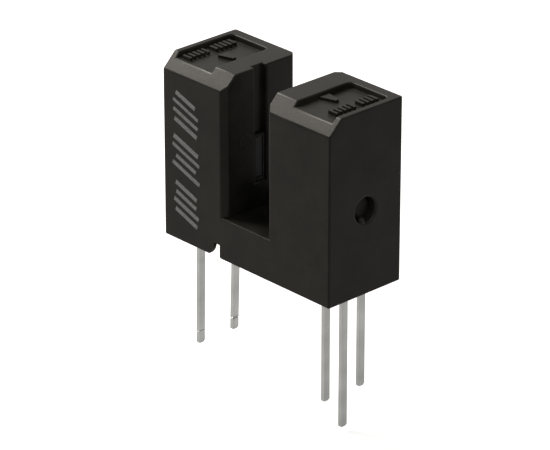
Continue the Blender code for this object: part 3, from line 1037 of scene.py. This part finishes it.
    def raised_marks(self, material: Finish) -> list[Shape]:
        """Draw the generic raised shapes on the recess floors: a row of blocks and a wedge each."""
        floor = self.height - self.recess_depth
        wide, narrow = self.wedge_wide, self.wedge_narrow
        made = []
        for side, row_x, first, count, wedge_x in (
            (Side.EMITTER, 5.15, -1.95, 13, 4.3),
            (Side.DETECTOR, 5.0, -1.5, 11, 4.0),
        ):
            row = MarkRow(
                name="raised_row", start=(side.value * row_x, first, floor),
                step=(0.0, self.block_step, 0.0), count=count, size=self.block_size,
                spread=self.block_spread, group=6, seed=7,
            )
            made.append(row.shape(material))
            low, high = across(side, wedge_x, wedge_x - self.wedge_length)
            outline = [(low, wide[0]), (high, narrow[0]), (high, narrow[1]), (low, wide[1])]
            bottom, top = floor - self.wedge_sink, floor + self.wedge_rise
            made.append(prism(outline, bottom, top, Plane.XY))
        return made

    def build(self, material: Finish) -> None:
        """Build the finished moulding, which stands for the CAD housing.

        Args:
            material: Its plastic.
        """
        shape = round_sharp(self.body(), self.soft_edge, 3)
        cutters = [self.notch_cutter(), *self.tool_marks()]
        for side in Side:
            cutters += [self.slit_cutter(side), self.pocket_cutter(side), self.mouth_cutter(side)]
            cutters.append(self.hole_cutter(side))
        shape = combine(shape, cutters)
        raised = self.raised_marks(material)
        raised += [self.ejector_pad(), self.end_burr(), self.gate_nub()]
        shape = combine(shape, raised, "UNION")
        item = finish_piece("housing_moulding", shape, material)
        settle(item, ["housing"])


@dataclass
class FacePrint:
    """The generic slanted bars printed on the emitter tower's front face."""

    front: float = 2.497
    low: float = 0.95
    middle: float = 4.4
    step: float = 0.5
    count: int = 15
    size: Place = (2.2, 0.006, 0.26)
    spread: Place = (0.7, 0.0, 0.08)
    slant: float = 20.0

    def build(self, material: Finish) -> None:
        """Build the bars as one thin film.

        Args:
            material: The ink.
        """
        row = MarkRow(
            name="bars", start=(-self.middle, -self.front, self.low), step=(0.0, 0.0, self.step),
            count=self.count, size=self.size, spread=self.spread, group=5, seed=11,
            turn=(0.0, math.radians(self.slant), 0.0),
        )
        item = finish_piece("face_print", row.shape(material), material)
        settle(item)


# Leads, capsules and what they hold


@dataclass
class SoftenedNodes:
    """Pieces that keep a CAD node's own form and get the rounded edges of the real one."""

    names: tuple[str, ...]
    slot: str
    suffix: str
    radius: float = 0.0
    segments: int = 0

    def reform(self, name: str, shape: Shape) -> None:
        """Change a copied form before its edges are rounded: here, not at all."""

    def detail(self, name: str, shape: Shape) -> Shape:
        """Give a rounded form its small detail: here, none."""
        return shape

    def build(self, frame: dict[str, Any], material: Finish) -> None:
        """Build one piece for each node.

        Args:
            frame: The loaded frame.
            material: The finish of them all.
        """
        for name in self.names:
            shape = bmesh.new()
            shape.from_mesh(frame["nodes"][name].data)
            bmesh.ops.scale(shape, vec=(1 / MM, 1 / MM, 1 / MM), verts=shape.verts)
            self.reform(name, merged(shape))
            if self.radius:
                round_sharp(shape, self.radius, self.segments)
            item = finish_piece(name + self.suffix, self.detail(name, shape), material)
            settle(item, [name])


@dataclass
class TinnedLeads(SoftenedNodes):
    """The leads: sheared tips, and on the emitter's two a slight lean and a raised lip, with a
    scored line on the anode's.
    """

    slot: str = "lead_tin"
    suffix: str = "_tinned"
    radius: float = 0.025
    segments: int = 2
    cathode_lean: float = 0.08
    anode_lean: float = 0.16
    tip_zone: float = 0.12
    tip_chamfer: float = 0.1
    tip_round: float = 0.03
    root: float = -0.8
    longer: float = 0.1
    score_height: float = 0.66
    score_width: float = 0.045
    score_depth: float = 0.035
    lip: float = 0.025
    lip_gap: float = 0.01

    def lean(self, name: str) -> float:
        """Give how far a lead's tip leans to the front."""
        return {"cathode_lead": self.cathode_lean, "anode_lead": self.anode_lean}.get(name, 0.0)

    def reform(self, name: str, shape: Shape) -> None:
        """Square the near corner of a tip, and lean the emitter's leads."""
        low = min(vertex.co.z for vertex in shape.verts)
        foot = [vertex for vertex in shape.verts if vertex.co.z < low + self.tip_zone]
        middle = sum(vertex.co.y for vertex in foot) / len(foot)
        step = self.tip_chamfer - self.tip_round
        for vertex in foot:
            if vertex.co.y < middle and vertex.co.z < low + self.tip_chamfer / 2:
                vertex.co.y -= step
            elif vertex.co.y < middle:
                vertex.co.z -= step
        if self.lean(name):
            for vertex in shape.verts:
                share = max(0.0, (self.root - vertex.co.z) / (self.root - low))
                vertex.co.y -= self.lean(name) * share
                vertex.co.z -= self.longer * share

    def detail(self, name: str, shape: Shape) -> Shape:
        """Raise a lip above the tips of the emitter's leads, and score the anode's below it."""
        if not self.lean(name):
            return shape
        low = min(vertex.co.z for vertex in shape.verts)
        foot = [vertex for vertex in shape.verts if vertex.co.z < low + self.score_height]
        near = min(vertex.co.y for vertex in foot)
        far = max(vertex.co.y for vertex in foot)
        face = max(vertex.co.x for vertex in foot)
        line = low + self.score_height
        score = block(
            (face - self.score_depth, near - self.lip, line - self.score_width),
            (face + self.lip, far + self.lip, line),
        )
        base = line + self.lip_gap
        lip = block(
            (face - 2 * self.score_depth, near - self.lip, base),
            (face + self.lip, far - self.lip, base + self.score_width),
        )
        round_sharp(lip, self.lip / 2, 2)
        if name == "anode_lead":
            shape = combine(shape, [score])
        return combine(shape, [lip], "UNION")


@dataclass
class CastCapsule(SoftenedNodes):
    """A capsule whose boss reaches up its end hole and whose nose fills the slit."""

    suffix: str = "_cast"
    side: Side = Side.DETECTOR
    boss_radius: float = 0.6
    boss_edge: float = 0.06
    boss_height: float = 4.6
    boss_end: float = 5.68
    boss_root: float = 5.0
    nose_width: float = 0.44
    nose_height: float = 2.14
    nose_end: float = 1.66
    nose_root: float = 2.95

    def detail(self, name: str, shape: Shape) -> Shape:
        """Lengthen the boss with a chamfered stub and add the nose."""
        length = self.boss_end - self.boss_root
        profile = [
            (self.boss_radius - self.boss_edge, 0.0), (self.boss_radius, self.boss_edge),
            (self.boss_radius, length), (0.0, length),
        ]
        stub = turned(profile, self.boss_end, self.side, self.boss_height)
        nose = beam_box(
            self.side, self.nose_end, self.nose_root, self.nose_width, self.nose_height
        )
        return combine(shape, [stub, nose], "UNION")


def dress(frame: dict[str, Any], names: Sequence[str], material: Finish) -> None:
    """Give CAD nodes that stay a finish.

    Args:
        frame: The loaded frame.
        names: The nodes.
        material: Their finish.
    """
    for name in names:
        node = frame["nodes"][name]
        for place in range(len(node.material_slots)):
            node.material_slots[place].material = material
        LOG.info("%s: dressed with %s", name, material.name)


# Studio


def hung(name: str, data: Any, place: Vector, back: Vector) -> bpy.types.Object:
    """Put a lamp or a camera at a place, turned so that its back is to a direction."""
    item = bpy.data.objects.new(name, data)
    bpy.context.scene.collection.objects.link(item)
    turn = back.to_track_quat("Z", "Y").to_matrix().to_4x4()
    item.matrix_world = Matrix.Translation(place * MM) @ turn
    return item


@dataclass(frozen=True)
class Softbox:
    """A soft square lamp that faces the object."""

    name: str
    place: Place
    size: float
    watts: float
    colour: str = "fff8ef"

    def build(self) -> None:
        """Hang the lamp."""
        data = bpy.data.lights.new(self.name, "AREA")
        data.size = self.size * MM
        data.energy = self.watts
        data.color = linear(self.colour)[:3]
        place = Vector(self.place)
        hung(self.name, data, place, place)


@dataclass
class Studio:
    """The pale floor, the soft light and the camera at the photograph's angle."""

    lamps: tuple[Softbox, ...] = (
        Softbox("left_softbox", (-143.0, -22.0, 135.0), 120.0, 1.35),
        Softbox("right_softbox", (160.0, -40.0, 150.0), 70.0, 0.17),
    )
    white: str = "fefefe"
    floor_colour: str = "8c8c8c"
    floor_glow: float = 0.78
    fill: float = 0.4
    floor_level: float = -8.2
    floor_size: float = 900.0
    picture_width: float = 550.0
    focal_pixels: float = 3620.0
    aim_height: float = 5.0
    distance: float = 182.02
    place_azimuth: float = 46.913
    place_elevation: float = 23.937
    view_azimuth: float = 47.02
    view_elevation: float = 24.865

    def back(self, azimuth: float, elevation: float) -> Vector:
        """Give the direction from the object to the camera."""
        az, el = math.radians(azimuth), math.radians(elevation)
        return Vector((math.sin(az) * math.cos(el), -math.cos(az) * math.cos(el), math.sin(el)))

    def camera(self) -> None:
        """Set the camera where the photograph was taken from."""
        data = bpy.data.cameras.new("camera")
        data.lens = self.focal_pixels / self.picture_width * data.sensor_width
        data.clip_start = 0.005
        data.clip_end = 10.0
        place = Vector((0.0, 0.0, self.aim_height))
        place += self.back(self.place_azimuth, self.place_elevation) * self.distance
        back = self.back(self.view_azimuth, self.view_elevation)
        bpy.context.scene.camera = hung("camera", data, place, back)

    def seen_directly(self, tree: Tree) -> Socket:
        """Give a factor that is 1 for camera, glossy and transmission rays."""
        rays = add_node(tree, "ShaderNodeLightPath").outputs
        factor = rays["Is Camera Ray"]
        for kind in ("Is Glossy Ray", "Is Transmission Ray"):
            factor = add_node(
                tree, "ShaderNodeMath", {"operation": "MAXIMUM"}, {0: factor, 1: rays[kind]}
            ).outputs[0]
        return factor

    def floor(self) -> None:
        """Lay the floor, white to the eye and still taking the object's shadow."""
        half = self.floor_size / 2
        shape = bmesh.new()
        bmesh.ops.create_grid(shape, x_segments=1, y_segments=1, size=half)
        bmesh.ops.translate(shape, vec=(0.0, 0.0, self.floor_level), verts=shape.verts)
        bmesh.ops.scale(shape, vec=(MM, MM, MM), verts=shape.verts)
        item = rough_object("studio_floor", shape)
        material = bpy.data.materials.new("pale_floor")
        tree = fresh_tree(material)
        matt = add_node(tree, "ShaderNodeBsdfDiffuse", values={"Color": linear(self.floor_colour)})
        glow = add_node(
            tree, "ShaderNodeEmission",
            values={"Color": linear(self.white), "Strength": self.floor_glow},
        )
        lit = add_node(tree, "ShaderNodeAddShader", links={0: matt.outputs[0], 1: glow.outputs[0]})
        mixed = add_node(
            tree, "ShaderNodeMixShader",
            links={0: self.seen_directly(tree), 1: matt.outputs[0], 2: lit.outputs[0]},
        )
        under = add_node(tree, "ShaderNodeNewGeometry").outputs["Backfacing"]
        clear = add_node(tree, "ShaderNodeBsdfTransparent")
        open_below = add_node(
            tree, "ShaderNodeMixShader", links={0: under, 1: mixed.outputs[0], 2: clear.outputs[0]}
        )
        add_node(tree, "ShaderNodeOutputMaterial", links={"Surface": open_below.outputs[0]})
        item.data.materials.append(material)

    def world(self) -> None:
        """Fill the surroundings: white to the eye, soft grey as a light."""
        world = bpy.data.worlds.new("studio_world")
        bpy.context.scene.world = world
        tree = fresh_tree(world)
        fill, seen = (
            add_node(
                tree, "ShaderNodeBackground",
                values={"Color": linear(self.white), "Strength": strength},
            ).outputs[0]
            for strength in (self.fill, 1.0)
        )
        mixed = add_node(
            tree, "ShaderNodeMixShader", links={0: self.seen_directly(tree), 1: fill, 2: seen},
        )
        add_node(tree, "ShaderNodeOutputWorld", links={"Surface": mixed.outputs[0]})

    def build(self) -> None:
        """Set up the floor, the light and the camera."""
        self.floor()
        self.world()
        for lamp in self.lamps:
            lamp.build()
        self.camera()


def cast_capsules(frame: dict[str, Any]) -> None:
    """Build the two capsules, each in its own epoxy."""
    smoke = CastEpoxy(
        "smoke_tinted_epoxy", pale="201d1f", deep="191718", transmission=0.1, specular=0.05
    )
    black = CastEpoxy(
        "daylight_filter_epoxy", pale="161414", deep="0e0d0d", transmission=0.0, specular=0.04
    )
    for name, side, epoxy in (
        ("emitter", Side.EMITTER, smoke), ("detector", Side.DETECTOR, black),
    ):
        capsule = CastCapsule((name + "_capsule",), name + "_epoxy", side=side)
        capsule.build(frame, epoxy.material())


def dress_insides(frame: dict[str, Any]) -> None:
    """Give the chips, their bonds and their wires their finishes."""
    dress(frame, ("emitter_chip", "detector_chip"), ChipFace().material())
    paste = SmallMetal(
        "silver_filled_epoxy", "8d8a86", "bcbab6", roughness=0.5, grain=0.02, grain_height=0.003
    )
    dress(frame, ("emitter_die_bond", "detector_die_bond"), paste.material())
    gold = SmallMetal(
        "drawn_gold_wire", "c99a3c", "e3b95c", roughness=0.22, grain=0.01, grain_height=0.0008
    )
    wires = ("emitter_bond_wire", "supply_bond_wire", "output_bond_wire", "ground_bond_wire")
    dress(frame, wires, gold.material())


def main() -> None:
    """Load the frame, build and dress every piece, and set up the studio."""
    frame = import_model()
    Housing().build(MouldedPlastic().material())
    FacePrint().build(PadInk().material())
    leads = ("cathode_lead", "anode_lead", "supply_lead", "output_lead", "ground_lead")
    TinnedLeads(leads).build(frame, TinnedLead().material())
    cast_capsules(frame)
    dress_insides(frame)
    Studio().build()
    scene = bpy.context.scene
    scene.view_settings.view_transform = "Standard"


if __name__ == "__main__":
    logging.basicConfig(level=logging.INFO, format="%(message)s")
    main()
